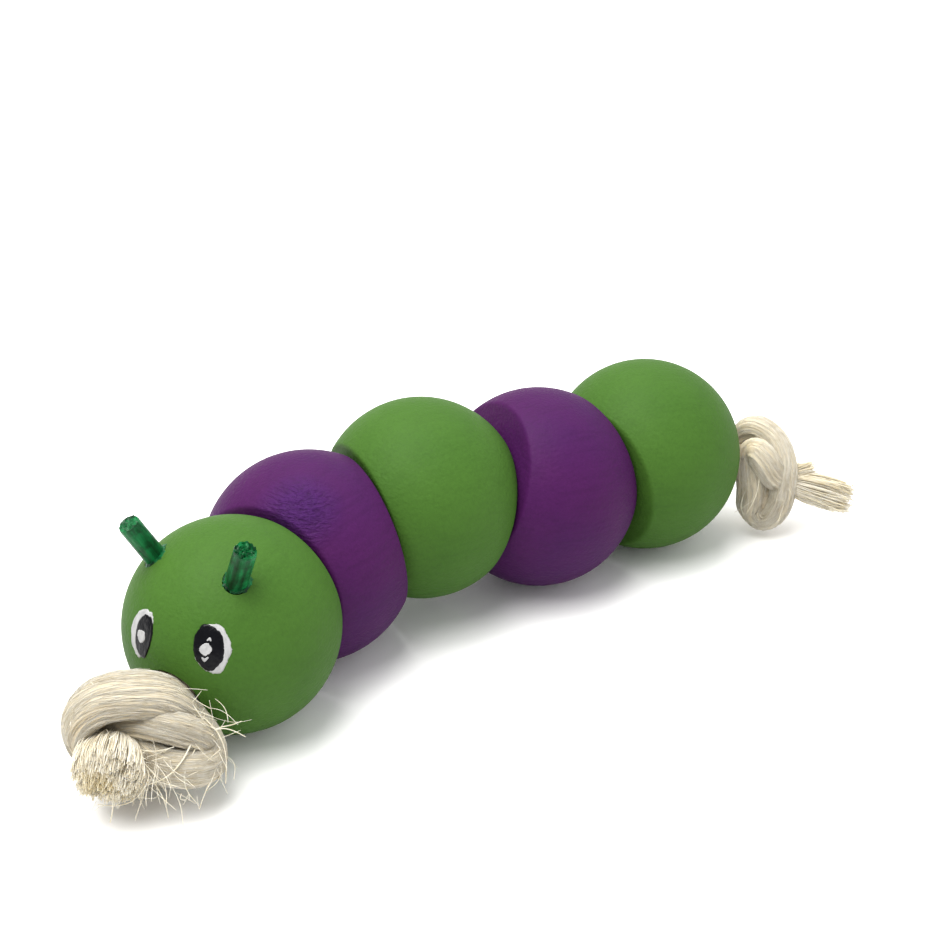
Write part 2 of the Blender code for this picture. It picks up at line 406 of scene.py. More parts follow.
crossings = [CENTRES[0] + MOUTH * R] + [(CENTRES[i] + CENTRES[i + 1]) / 2 for i in range(4)] + [CENTRES[4] + TAIL_EXIT * R]
BODIES = ["head", "body_ball_2", "body_ball_3", "body_ball_4", "tail"]
NODES = ["head_ball", "body_ball_2", "body_ball_3", "body_ball_4", "tail_ball"]
for i in range(5):
    lo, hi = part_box(NODES[i])
    assert abs((lo[1] + hi[1]) / 2 - CENTRES[i].y) < 0.4 * MM and abs((lo[2] + hi[2]) / 2 - CENTRES[i].z) < 0.4 * MM
    flats = ([(-GAP_AXES[i - 1], FLATS[i][0])] if i > 0 else []) + ([(GAP_AXES[i], FLATS[i][1])] if i < 4 else [])
    run = (crossings[i + 1] - crossings[i]).normalized()
    holes = [(crossings[i] - run * 6 * MM, crossings[i + 1] + run * 6 * MM, BORE_D / 2)]
    if i == 0:
        for seat, lean in ANTENNAE.values():
            root = CENTRES[0] + seat * R
            holes.append((root - lean * PEG_SEAT, root + lean * 5 * MM, PEG_HOLE_D / 2))
    paint = GREEN if i % 2 == 0 else (PURPLE_WORN if i == 1 else PURPLE)
    turned_ball("ball_%d" % (i + 1), NODES[i], CENTRES[i], RADII[i], flats, holes, paint, BODIES[i],
                run)


# ============================================================== painted eyes
def paint_patch(name, centre_dir, width, height, lift, thick, seed, material, wobble=0.05, tilt=0.0, lean=0.0,
                rings=14, around=120):
    """A thin closed patch of paint on the head: a wobbly oval, domed a little, thinning at its edge."""
    wob = smooth_noise(seed)
    e = centre_dir.normalized()
    up = (Vector((0, 0, 1)) - e * e.z).normalized()
    side = up.cross(e)
    ca, sa = math.cos(math.radians(tilt)), math.sin(math.radians(tilt))
    side, up = side * ca + up * sa, up * ca - side * sa
    verts, faces = [], []

    def point(a, f, h):
        w = 1 + wobble * float(wob(6 + 2.2 * math.cos(a), 6 + 2.2 * math.sin(a))) \
            + 0.40 * wobble * float(wob(30 + 7 * math.cos(a), 30 + 7 * math.sin(a))) \
            + 0.30 * wobble * float(wob(80 + 17 * math.cos(a), 80 + 17 * math.sin(a)))
        x, y = 0.5 * width * f * w * math.cos(a), 0.5 * height * f * w * math.sin(a)
        x += lean * y
        d = (e * R + side * x + up * y).normalized()
        return CENTRES[0] + d * (R + h)

    rows = []
    for k in range(1, rings + 1):
        f = k / rings
        row = []
        for j in range(around):
            a = 2 * math.pi * j / around
            bead = 0.35 * math.exp(-((f - 0.90) / 0.07) ** 2)         # the paint piles up near its edge
            body = 1.0 if f < 0.93 else max(0.0, (1 - f) / 0.07) ** 0.5
            h = lift + thick * (body * (0.72 + bead + 0.16 * float(wob(12 + f * 5 * math.cos(a), 40 + f * 5 * math.sin(a)))))
            row.append(len(verts))
            verts.append(point(a, f, h))
        rows.append(row)
    top = len(verts)
    verts.append(point(0, 0.0, lift + thick * 0.8))
    for j in range(around):
        faces.append((top, rows[0][j], rows[0][(j + 1) % around]))
    for k in range(rings - 1):
        for j in range(around):
            n = (j + 1) % around
            faces.append((rows[k][j], rows[k + 1][j], rows[k + 1][n], rows[k][n]))
    under = []
    for j in range(around):
        under.append(len(verts))
        verts.append(point(2 * math.pi * j / around, 0.985, -0.06 * MM))
    base = len(verts)
    verts.append(point(0, 0.0, -0.06 * MM))
    for j in range(around):
        n = (j + 1) % around
        faces.append((rows[-1][j], under[j], under[n], rows[-1][n]))
        faces.append((base, under[n], under[j]))
    mesh = bpy.data.meshes.new(name)
    mesh.from_pydata([tuple(v) for v in verts], [], faces)
    mesh.update()
    mesh.shade_smooth()
    return new_object(name, mesh, material, "head")


# (white, black and dot: direction, width, height)
EYES = {
    "left": [((-178.1, 18.7), 6.3, 9.6), ((-175.4, 18.5), 4.6, 8.2), ((-176.4, 17.8), 2.25, 2.3)],
    "right": [((-131.8, 21.5), 6.4, 8.9), ((-134.1, 22.1), 5.3, 8.3), ((-135.7, 21.3), 2.2, 2.1)],
}
for side, layers in EYES.items():
    s = 1 if side == "left" else 2
    paint_patch("eye_white_" + side, direction(*layers[0][0]), layers[0][1] * MM, layers[0][2] * MM,
                0.0, 0.10 * MM, 10 * s, WHITE, 0.07)
    paint_patch("eye_black_" + side, direction(*layers[1][0]), layers[1][1] * MM, layers[1][2] * MM,
                0.09 * MM, 0.09 * MM, 10 * s + 1, BLACK, 0.07)
    paint_patch("eye_dot_" + side, direction(*layers[2][0]), layers[2][1] * MM, layers[2][2] * MM,
                0.17 * MM, 0.10 * MM, 10 * s + 2, WHITE, 0.14)


def paint_line(name, path, width, material):
    """A thin raised line of paint on the head, through (azimuth, elevation) points; used here for painted highlights on
    an eye.
    """
    pts = [direction(*a) for a in path]
    line = []
    for a, b in zip(pts, pts[1:]):
        line += [(a * (1 - k / 8) + b * k / 8).normalized() for k in range(8)]
    line.append(pts[-1])
    verts, faces, sides = [], [], 10
    for i, d in enumerate(line):
        way = (line[min(i + 1, len(line) - 1)] - line[max(i - 1, 0)]).normalized()
        side = way.cross(d).normalized()
        w = 0.5 * width * (0.35 + 0.65 * math.sin(math.pi * (i + 0.6) / (len(line) + 0.2)))
        for j in range(sides):
            a = 2 * math.pi * j / sides
            verts.append(tuple(CENTRES[0] + d * (R + 0.17 * MM + 0.07 * MM * math.sin(a)) + side * w * math.cos(a)))
    for i in range(len(line) - 1):
        for j in range(sides):
            k = (j + 1) % sides
            faces.append((i * sides + j, (i + 1) * sides + j, (i + 1) * sides + k, i * sides + k))
    faces.append(tuple(range(sides)))
    faces.append(tuple(reversed(range((len(line) - 1) * sides, len(line) * sides))))
    mesh = bpy.data.meshes.new(name)
    mesh.from_pydata(verts, [], faces)
    mesh.update()
    mesh.shade_smooth()
    bm = bmesh.new()
    bm.from_mesh(mesh)
    bmesh.ops.recalc_face_normals(bm, faces=bm.faces)
    bm.to_mesh(mesh)
    bm.free()
    return new_object(name, mesh, material, "head")


# painted highlights: two white strokes by the right eye's dot stand in for glints off the ridges of the black paint
paint_line("eye_painted_glint_low", [(-137.4, 17.1), (-136.1, 15.6), (-134.0, 17.4)], 0.55 * MM, WHITE)
paint_line("eye_painted_glint_high", [(-134.9, 25.7), (-133.4, 26.8), (-132.7, 25.5)], 0.42 * MM, WHITE)


# ================================================================= antennae
def peg(name, node, root, way, seed, torn):
    """A split wood peg: faceted and ribbed along the grain, with a broken, splintery end."""
    wob = smooth_noise(seed)
    place = Matrix.Translation(root) @ frame_along(way)
    around, rows = 64, 40
    z0, z1 = -(PEG_SEAT - 0.3 * MM), PEG_OUT
    verts, faces, grid = [], [], []
    for k in range(rows + 1):
        t = k / rows
        z = z0 + (z1 - z0) * t
        row = []
        for j in range(around):
            a = 2 * math.pi * j / around
            ca, sa = math.cos(a), math.sin(a)
            facet = 0.045 * float(wob(5 + 2.4 * ca, 5 + 2.4 * sa + 0.8 * t)) + 0.014 * float(wob(40 + 9 * ca, 40 + 9 * sa + 2 * t))
            r = PEG_D / 2 * (0.955 + facet - 0.02 * t - 0.05 * max(0.0, (t - 0.965) / 0.035) ** 2)
            top = 0.35 * torn * MM * float(wob(60 + 5 * ca, 60 + 5 * sa)) * max(0.0, (t - 0.9) / 0.1)
            row.append(len(verts))
            verts.append((r * ca, r * sa, z + top))
        grid.append(row)
    for k in range(rows):
        for j in range(around):
            n = (j + 1) % around
            faces.append((grid[k][j], grid[k][n], grid[k + 1][n], grid[k + 1][j]))
    # broken end: concentric rings whose heights are torn fibre
    prev = grid[-1]
    rings = 9
    for k in range(1, rings):
        f = 1 - k / rings
        row = []
        for j in range(around):
            a = 2 * math.pi * j / around
            x, y = verts[grid[-1][j]][0] * f, verts[grid[-1][j]][1] * f
            h = torn * 0.42 * MM * float(wob(90 + x / MM * 3.1, 90 + y / MM * 3.1)) + torn * 0.22 * MM * float(wob(150 + x / MM * 8, 30 + y / MM * 8))
            row.append(len(verts))
            verts.append((x, y, z1 - 0.12 * MM + h))
        for j in range(around):
            n = (j + 1) % around
            faces.append((prev[j], prev[n], row[n], row[j]))
        prev = row
    tip = len(verts)
    verts.append((0, 0, z1))
    for j in range(around):
        faces.append((prev[j], prev[(j + 1) % around], tip))
    foot = len(verts)
    verts.append((0, 0, z0))
    for j in range(around):
        faces.append((grid[0][(j + 1) % around], grid[0][j], foot))
    mesh = bpy.data.meshes.new(name)
    mesh.from_pydata(verts, [], faces)
    mesh.update()
    mesh.shade_smooth()
    mesh.set_sharp_from_angle(angle=math.radians(38))
    obj = new_object(name, mesh, STAIN, "head", place)
    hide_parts(node)
    # stain and glue that ran out round the peg
    wet = smooth_noise(seed + 5)
    around, verts, faces, rows = 96, [], [], []
    centre = CENTRES[0]
    for k, f in enumerate((0.0, 0.3, 0.6, 0.85, 1.0)):
        row = []
        for j in range(around):
            a = 2 * math.pi * j / around
            spread = 0.22 + 0.26 * max(0.0, float(wet(8 + 3.0 * math.cos(a), 8 + 3.0 * math.sin(a)))) \
                + 0.24 * max(0.0, float(wet(50 + 11 * math.cos(a), 50 + 11 * math.sin(a))))
            rr = PEG_D / 2 * 0.93 + f * spread * 1.9 * MM
            p = place @ Vector((rr * math.cos(a), rr * math.sin(a), 0))
            d = (p - centre).normalized()
            lift = (0.20 * (1 - f) ** 2 + 0.045 * (1 - f ** 3)) * MM
            row.append(len(verts))
            verts.append(tuple(centre + d * (R + lift - (0.03 * MM if k == 4 else 0))))
        rows.append(row)
    for k in range(4):
        for j in range(around):
            n = (j + 1) % around
            faces.append((rows[k][j], rows[k + 1][j], rows[k + 1][n], rows[k][n]))
    under = []
    for j in range(around):
        inner, outer = Vector(verts[rows[0][j]]), Vector(verts[rows[-1][j]])
        d = (inner - centre).normalized()
        under.append(len(verts))
        verts.append(tuple(centre + d * (R - 0.2 * MM)))
    for j in range(around):
        n = (j + 1) % around
        faces.append((rows[-1][j], under[j], under[n], rows[-1][n]))
        faces.append((under[j], rows[0][j], rows[0][n], under[n]))
    ring = bpy.data.meshes.new(name + "_glue")
    ring.from_pydata(verts, [], faces)
    ring.update()
    ring.shade_smooth()
    new_object(name + "_glue", ring, STAIN, "head")


for n, (name, (seat, lean)) in enumerate(ANTENNAE.items()):
    peg("peg_" + name.split("_")[1], name, CENTRES[0] + seat * R, lean, 300 + 40 * n, (0.35, 1.0)[n])



# ============================================================ knotted rope
def spline(rows, step):
    """Smooth curve through the rows (x, y, z, then anything else), sampled every `step` along xyz."""
    rows = np.asarray(rows, float)
    ext = np.vstack([2 * rows[0] - rows[1], rows, 2 * rows[-1] - rows[-2]])
    out = []
    for i in range(1, len(ext) - 2):
        p0, p1, p2, p3 = ext[i - 1:i + 3]
        t = np.linspace(0, 1, 40, endpoint=False)[:, None]
        out.append(0.5 * (2 * p1 + (p2 - p0) * t + (2 * p0 - 5 * p1 + 4 * p2 - p3) * t ** 2
                          + (3 * p1 - p0 - 3 * p2 + p3) * t ** 3))
    line = np.vstack(out + [ext[-2][None]])
    line = resample(line, step)
    kernel = np.exp(-0.5 * (np.arange(-9, 10) / 4.0) ** 2)
    kernel /= kernel.sum()
    padded = np.vstack([2 * line[0] - line[9:0:-1], line, 2 * line[-1] - line[-2:-11:-1]])
    smooth = np.stack([np.convolve(padded[:, c], kernel, "valid") for c in range(line.shape[1])], 1)
    return resample(smooth, step)


def resample(line, step):
    d = np.r_[0, np.cumsum(np.linalg.norm(np.diff(line[:, :3], axis=0), axis=1))]
    n = max(2, int(round(d[-1] / step)) + 1)
    at = np.linspace(0, d[-1], n)
    return np.stack([np.interp(at, d, line[:, c]) for c in range(line.shape[1])], 1)


def unit(a):
    return a / np.maximum(np.linalg.norm(a, axis=-1, keepdims=True), 1e-12)


VB = np.array([tuple(VIEW_X), tuple(VIEW_Y), tuple(VIEW_Z)])      # rows: right, up, toward the viewer


class Knot:
    """A rope pulled into a knot, given in millimetres right, up and forward of its middle."""

    STEP = 0.25

    def __init__(self, middle, rows, seed, keep_out, bore, slim):
        self.middle = np.array(tuple(middle)) / MM
        self.wob = smooth_noise(seed)
        self.seed = seed
        self.keep_out, self.bore, self.slim = keep_out, bore, slim
        line = spline([(*r[:3], r[3], r[4], *r[5]) for r in rows], self.STEP)
        self.p = self.world(line[:, :3])
        self.w, self.t = line[:, 3], line[:, 4]
        self.s = np.r_[0, np.cumsum(np.linalg.norm(np.diff(self.p, axis=0), axis=1))]
        self.length = float(self.s[-1])
        self.tan = unit(np.gradient(self.p, axis=0))
        face = line[:, 5:8] @ VB
        face = face - (face * self.tan).sum(1, keepdims=True) * self.tan
        self.nor = unit(face)
        self.bin = np.cross(self.tan, self.nor)

    def world(self, v):
        return self.middle + np.asarray(v, float) @ VB

    def relief(self, s, a):
        """Height of the bunches of fibre, about -1..1; `a` runs once round from the hidden side."""
        w = self.wob
        q = a + 0.030 * s
        return 0.52 * w(q * 1.9 + 3, s * 0.035) + 0.30 * w(q * 4.6 + 31, s * 0.055 + 9) \
            + 0.20 * w(q * 11 + 60, s * 0.08 + 17) + 0.10 * w(q * 26 + 90, s * 0.12 + 40)

    def surface(self, s, a, lift=0.0):
        """Points on the rope at distance s along it and angle a (0 and 2 pi face the knot's middle)."""
        s, a = np.broadcast_arrays(np.asarray(s, float), np.asarray(a, float))
        k = np.clip(s / self.length * (len(self.s) - 1), 0, len(self.s) - 1.0001)
        i = k.astype(int)
        f = (k - i)[..., None]

        def mix(x):
            return x[i] * (1 - f) + x[i + 1] * f

        w, t = mix(self.w[:, None])[..., 0], mix(self.t[:, None])[..., 0]
        rel = self.relief(s, a)
        grow = 1 + 0.0 * rel
        cx, cy = np.sin(a), -np.cos(a)
        swell = 0.42 * rel * np.minimum(1.0, s / 4.0) + lift
        off_b = (w * grow * cx + swell * cx)[..., None]
        off_n = (t * grow * cy + swell * cy)[..., None]
        pts = mix(self.p) + off_b * unit(mix(self.bin)) + off_n * unit(mix(self.nor))
        return self.clear(pts), rel

    def clear(self, pts, gap=0.05):
        """Press points out of the ball beside the knot and up off the floor."""
        shape = pts.shape
        pts = pts.reshape(-1, 3).copy()
        c, r = self.keep_out
        d = pts - c
        n = np.linalg.norm(d, axis=1)
        start, way = self.bore
        rel = pts - start
        away = np.linalg.norm(rel - (rel @ way)[:, None] * way, axis=1)
        deep = (n < r - 1.0) & (away > self.slim)
        line = rel - (rel - (rel @ way)[:, None] * way)
        pts[deep] = (start + line + (rel - line) * (self.slim / np.maximum(away, 1e-6))[:, None])[deep]
        hit = (n < r + gap) & (away > self.slim) & ~deep
        pts[hit] = c + d[hit] / n[hit, None] * (r + gap)
        low = pts[:, 2] < 0.35
        pts[low, 2] = 0.05 + 0.30 * np.exp((pts[low, 2] - 0.35) / 1.2)
        return pts.reshape(shape)


def mesh_from(name, verts, faces, smooth=True):
    mesh = bpy.data.meshes.new(name)
    mesh.from_pydata((np.asarray(verts) * MM).tolist(), [], faces)
    mesh.update()
    if smooth:
        mesh.shade_smooth()
    return mesh


def rope_mesh(name, knot, around=144):
    a = np.linspace(0, 2 * math.pi, around, endpoint=False) + 1e-6
    s = knot.s
    pts, rel = knot.surface(s[:, None], a[None, :])
    # close the angular seam on the hidden side
    fade = np.clip(np.minimum(a, 2 * math.pi - a) / 0.5, 0, 1)[None, :]
    n = len(s)
    verts = pts.reshape(-1, 3)
    faces = []
    idx = np.arange(n * around).reshape(n, around)
    nxt = np.roll(idx, -1, axis=1)
    quads = np.stack([idx[:-1], nxt[:-1], nxt[1:], idx[1:]], -1).reshape(-1, 4)
    faces = quads.tolist()
    # domed ends
    extra = []
    count = len(verts)
    for end, ring, sign in ((0, idx[0], -1), (n - 1, idx[-1], 1)):
        extra.append(knot.p[end] + sign * knot.tan[end] * (0.6 if sign > 0 else 0.2))
        tip = count + len(extra) - 1
        for j in range(around):
            k = (j + 1) % around
            faces.append([tip, ring[k], ring[j]] if sign < 0 else [tip, ring[j], ring[k]])
    verts = np.vstack([verts, extra])
    faces = [[int(i) for i in f] for f in faces]
    mesh = mesh_from(name, verts, faces)
    # ridge: the relief height, which the sisal material uses to paint shade into the creases
    ridge = mesh.attributes.new("ridge", "FLOAT", "POINT")
    value = np.r_[np.clip(0.5 + 0.62 * rel, 0, 1).reshape(-1), 0.3, 0.3]
    ridge.data.foreach_set("value", value.astype(np.float32))
    uv = mesh.uv_layers.new(name="UVMap")
    loop_v = np.empty(len(mesh.loops), np.int32)
    mesh.loops.foreach_get("vertex_index", loop_v)
    mean = (knot.w + knot.t) / 2
    u = (a[None, :] * 4.2 * MM + 0 * s[:, None] + 0.10 * s[:, None] * MM).reshape(-1)
    v = np.repeat(s, around) * MM
    u, v = np.r_[u, 0, 0], np.r_[v, 0, knot.length * MM]
    coords = np.stack([u[loop_v], v[loop_v]], 1)
    uv.data.foreach_set("uv", coords.reshape(-1).astype(np.float32))
    return mesh


def strands(name, lines, radii, tints, sides=4, flat=1.0):
    """Many thin closed fibres as one mesh.  Each line is an (n, 3) array in millimetres."""
    verts, faces, colours = [], [], []
    base = 0
    ang = np.linspace(0, 2 * math.pi, sides, endpoint=False)
    for line, radius, tint in zip(lines, radii, tints):
        line = np.asarray(line, float)
        n = len(line)
        tan = unit(np.gradient(line, axis=0))
        ref = np.array([0.31, 0.17, 0.94])
        side = unit(np.cross(tan, ref))
        up = np.cross(side, tan)
        r = radius if np.ndim(radius) else radius * np.ones(n)
        ring = line[:, None, :] + r[:, None, None] * (np.cos(ang)[None, :, None] * side[:, None, :]
                                                     + flat * np.sin(ang)[None, :, None] * up[:, None, :])
        verts.append(ring.reshape(-1, 3))
        idx = base + np.arange(n * sides).reshape(n, sides)
        nxt = np.roll(idx, -1, axis=1)
        faces.extend(np.stack([idx[:-1], nxt[:-1], nxt[1:], idx[1:]], -1).reshape(-1, 4).tolist())
        faces.append(idx[0][::-1].tolist())
        faces.append(idx[-1].tolist())
        colours.append(np.tile((*tint, 1.0), (n * sides, 1)))
        base += n * sides
    verts = np.vstack(verts)
    low = verts[:, 2] < 0.04
    verts[low, 2] = 0.04
    mesh = mesh_from(name, verts, faces)
    layer = mesh.color_attributes.new("tint", "FLOAT_COLOR", "POINT")
    layer.data.foreach_set("color", np.vstack(colours).astype(np.float32).reshape(-1))
    return mesh


CREAM, PALE, TAN = (0.62, 0.555, 0.42), (0.70, 0.645, 0.52), (0.52, 0.42, 0.26)
STRAW = (0.60, 0.49, 0.27)


def tint_of(rng, dark=0.08):
    x = rng.random()
    if x < dark:
        a, b = TAN, CREAM
    elif x < 0.6:
        a, b = CREAM, PALE
    else:
        a, b = PALE, (0.76, 0.72, 0.61)
    f = rng.random()
    return tuple(a[i] * (1 - f) + b[i] * f for i in range(3))


def surface_fibres(name, knot, count, seed, shade, s_range=(1.0, None), lift=(0.0, 0.06), radius=(0.026, 0.056)):
    """Fibres lying along the rope's surface, each drifting a little and lifting at its ends."""
    rng = np.random.default_rng(seed)
    lines, radii, tints = [], [], []
    s_hi = s_range[1] if s_range[1] is not None else knot.length - 0.5
    for _ in range(count):
        length = rng.uniform(7, 26)
        s0 = rng.uniform(s_range[0], s_hi - 4)
        s = np.arange(s0, min(s0 + length, s_hi), 0.9)
        if len(s) < 5:
            continue
        a0 = math.pi + rng.uniform(-2.1, 2.1)
        drift = rng.normal(0, 0.012)
        curl = rng.normal(0, 0.10)
        a = a0 + drift * (s - s0) + curl * np.sin((s - s0) * rng.uniform(0.15, 0.35) + rng.uniform(0, 6))
        f = (s - s[0]) / (s[-1] - s[0])
        h = rng.uniform(*lift) + rng.uniform(0.0, 0.35) * np.clip((f - 0.8) / 0.2, 0, 1) ** 2 * (rng.random() < 0.5)
        pts, _ = knot.surface(s, a, h)
        lines.append(pts)
        r = rng.uniform(*radius)
        radii.append(r * (0.45 + 0.55 * np.sin(np.pi * np.clip(f * 0.9 + 0.05, 0, 1)) ** 0.5))
        tints.append(tuple(shade * c for c in tint_of(rng)))
    return strands(name, lines, radii, tints, 3)


def brush(name, knot, fans, seed):
    """Fibres fanning out of the rope's cut end.

    Each fan: throat, middle of the tips, radius of the tips and of the throat, how many, how ragged the tips are,
    outward bow, fibre radii, share of straw colour, doming of the tips.
    """
    rng = np.random.default_rng(seed)
    wob = smooth_noise(seed + 1)
    lines, radii, tints = [], [], []
    t = np.linspace(0, 1, 9)[:, None]
    for throat, face, face_r, root_r, count, ragged, bow, radius, straw, dome in fans:
        throat, face = knot.world(throat), knot.world(face)
        way = unit(face - throat)
        e1 = unit(np.cross(way, np.array([0.0, 0.0, 1.0])))
        e2 = np.cross(e1, way)
        bunch = rng.uniform(-1, 1, (90, 3))
        for _ in range(count):
            r, phi = math.sqrt(rng.random()), rng.uniform(0, 2 * math.pi)
            radial = e1 * math.cos(phi) + e2 * math.sin(phi)
            x, y = r * math.cos(phi), r * math.sin(phi)
            patch = float(wob(20 + 2.6 * x, 20 + 2.6 * y)) + 0.5 * float(wob(120 + 6 * x, 60 + 6 * y))
            swirl = 0.55 * (e1 * float(wob(150 + 3 * x, 20 + 3 * y)) + e2 * float(wob(20 + 3 * x, 150 + 3 * y)))
            root = throat + radial * r * root_r
            own = bunch[np.argmin((bunch[:, 0] - x) ** 2 + (bunch[:, 1] - y) ** 2)]
            pull = rng.uniform(0.15, 0.75)
            x, y = x + (own[0] - x) * pull, y + (own[1] - y) * pull
            r = min(1.0, math.hypot(x, y))
            tip = face + (e1 * x + e2 * y) * face_r \
                + way * (rng.normal(0, 0.26 * ragged) + 0.5 * ragged * patch + 0.45 * ragged * own[2] - dome * r * r)
            tip = tip + rng.normal(0, 0.28, 3) + swirl
            mid = root * 0.45 + tip * 0.55 + radial * r * bow + rng.normal(0, 0.22, 3)
            if rng.random() < 0.10:
                tip = tip + rng.normal(0, 0.55, 3) - way * rng.uniform(0, 1.2)
            line = root * (1 - t) ** 2 + 2 * mid * t * (1 - t) + tip * t ** 2
            wave = np.sin(t * rng.uniform(3, 9) + rng.uniform(0, 6)) * t ** 1.5 * rng.uniform(0.0, 0.30)
            line = line + wave * unit(rng.normal(0, 1, 3))
            lines.append(knot.clear(line, 0.1))
            radii.append(rng.uniform(*radius) * np.linspace(0.8, 1.0, 9))
            k = max(0.0, min(1.0, straw + 0.9 * float(wob(70 + 2.2 * x, 70 + 2.2 * y)))) * (1 - 0.6 * r)
            tint = tint_of(rng, 0.05)
            tints.append(tuple(1.17 * (tint[i] * (1 - k) + STRAW[i] * k) for i in range(3)))
    return strands(name, lines, radii, tints, 4, 0.75)


def loose(name, knot, curves, seed, scale, centre_px):
    """Stray fibres: each is (radius, forward offsets, picture-plane points)."""
    rng = np.random.default_rng(seed)
    lines, radii, tints = [], [], []
    for radius, pts in curves:
        line = spline([(*p,) for p in pts], 0.45)
        world = knot.clear(knot.world(line), 0.12)
        n = len(world)
        f = np.linspace(0, 1, n)
        lines.append(world)
        radii.append(radius * (0.55 + 0.45 * np.sin(np.pi * np.clip(f * 0.92 + 0.04, 0, 1)) ** 0.6))
        k = rng.random()
        tints.append(tuple(PALE[i] * (1 - 0.25 * k) + CREAM[i] * 0.25 * k for i in range(3)))
    return strands(name, lines, radii, tints, 5, 0.7)


def tangle(seed, middle, spread, aim, count, length, radius, curl=0.35):
    """Short crooked fibres that have worked loose round one place."""
    rng = np.random.default_rng(seed)
    out = []
    for _ in range(count):
        at = np.array(middle) + rng.normal(0, 1, 3) * np.array(spread)
        way = unit(np.array(aim) + rng.normal(0, 0.8, 3) * (1, 1, 0.5))
        bend = rng.normal(0, curl, 3) * (1, 1, 0.4)
        pts = [at]
        for _ in range(rng.integers(4, 7)):
            pts.append(pts[-1] + way * length * rng.uniform(0.12, 0.26))
            bend = 0.6 * bend + rng.normal(0, curl * 0.8, 3) * (1, 1, 0.4)
            way = unit(way + bend)
        out.append((rng.uniform(*radius), pts))
    return out


def tinted(name):
    m = Nodes(name)
    col = m.add("ShaderNodeAttribute", {"attribute_name": "tint"}).outputs["Color"]
    co = m.add("ShaderNodeTexCoord").outputs["Object"]
    n = m.noise(co, 600.0, 2.0, 0.5)
    m.set("Base Color", m.mix(0.5, col, m.ramp(n, [(0.3, (0.78, 0.72, 0.60)), (0.55, (1, 1, 1))]), "MULTIPLY"))
    m.set("Roughness", 0.5)
    m.set("Specular IOR Level", 0.3)
    m.set("Subsurface Weight", 0.3)
    m.set("Subsurface Radius", (1.0, 0.8, 0.5))
    m.set("Subsurface Scale", 0.0008)
    return m.mat


TINTED = tinted("sisal_strands")

HEAD_C = np.array(tuple(CENTRES[0])) / MM
TAIL_C = np.array(tuple(CENTRES[4])) / MM
mouth_at = CENTRES[0] + MOUTH * R

# ---- nose knot: rows are right, up, forward (mm), half width, half thickness, facing
NOSE_MID = Vector((-77.45, -15.86, 11.65)) * MM
NOSE = [
    (4.24, 7.45, -4.71, 5.6, 5.6, (0.2, 0.7, 0.6)),
    (1.6, 5.2, -2.4, 4.8, 4.4, (0.1, 0.7, 0.6)),
    (-4.6, 2.8, -1.0, 4.6, 3.0, (-0.2, 0.2, 0.95)),
    (-1.6, 4.4, 2.0, 3.4, 2.4, (-0.1, 0.3, 1.0)),
    (3.4, 4.1, 4.0, 3.1, 2.4, (0.1, 0.25, 1.0)),
    (8.0, 3.0, 3.9, 3.0, 2.3, (0.3, 0.2, 0.95)),
    (10.8, 1.4, 1.8, 2.8, 2.2, (0.8, 0.1, 0.6)),
    (9.8, -1.4, -2.2, 2.9, 2.3, (1.0, -0.2, -0.1)),
    (6.2, -3.9, -5.8, 3.3, 2.5, (0.5, -0.5, -0.7)),
    (0.0, -5.5, -7.0, 3.8, 2.6, (0.0, -0.75, -0.65)),
    (-6.2, -4.4, -4.6, 4.0, 2.6, (-0.5, -0.7, -0.5)),
    (-10.4, 0.0, -1.4, 4.4, 2.7, (-1.0, -0.1, 0.2)),
    (-10.3, 4.6, 1.6, 5.1, 2.8, (-0.8, 0.4, 0.6)),
    (-6.6, 8.0, 3.4, 5.2, 2.9, (-0.3, 0.7, 0.7)),
    (-0.8, 9.1, 3.8, 5.0, 2.9, (0.0, 0.7, 0.7)),
    (4.6, 8.1, 1.3, 4.8, 3.0, (0.4, 0.7, 0.6)),
    (8.2, 4.7, -1.5, 4.0, 2.6, (0.8, 0.5, 0.2)),
    (11.8, 0.4, -2.0, 3.0, 2.4, (1.0, 0.1, 0.2)),
    (12.3, -2.6, 0.6, 2.9, 2.4, (0.85, -0.2, 0.6)),
    (9.6, -3.6, 3.2, 3.3, 2.4, (0.4, -0.2, 1.0)),
    (5.0, -3.2, 3.4, 3.2, 2.4, (0.0, -0.2, 1.0)),
    (0.6, -1.4, 2.4, 3.2, 2.5, (0.0, 0.0, 1.0)),
    (-3.0, 0.4, 1.6, 3.4, 2.8, (0.0, 0.7, 0.7)),
    (-4.5, -1.6, 3.6, 3.8, 3.6, (0.0, 0.9, 0.5)),
    (-4.6, -4.5, 6.2, 5.0, 4.8, (0.0, 0.9, 0.5)),
]
mouth_way = np.array(tuple(MOUTH))
nose = Knot(NOSE_MID, NOSE, 11, (HEAD_C, 20.0), (np.array(tuple(mouth_at)) / MM, mouth_way), 5.3)
nose_rope = new_object("nose_knot_rope", rope_mesh("nose_knot_rope", nose), SISAL, "nose_knot")
nose_hair = new_object("nose_knot_fibres", surface_fibres("nose_knot_fibres", nose, 1500, 21, 0.86), TINTED, "nose_knot")
nose_brush = new_object("nose_knot_cut_end", brush("nose_knot_cut_end", nose, [
    ((-4.4, 0.9, 1.4), (-4.8, -6.1, 7.6), 6.5, 3.6, 4200, 1.3, 2.0, (0.05, 0.10), 0.22, 2.4)], 31), TINTED, "nose_knot")

# painted shade: rope seen only in the gaps inside the knots and balls is coloured dark brown instead of cream
sisal_painted_shade = Nodes("sisal_inside_painted_shade")
inside_co = sisal_painted_shade.add("ShaderNodeTexCoord").outputs["Object"]
sisal_painted_shade.set("Base Color", sisal_painted_shade.ramp(sisal_painted_shade.noise(sisal_painted_shade.stretch(inside_co, (150.0, 900.0, 900.0)), 1.0, 3.0, 0.6),
                                   [(0.3, (0.26, 0.19, 0.10)), (0.55, (0.42, 0.36, 0.26))]))
sisal_painted_shade.set("Roughness", 0.7)


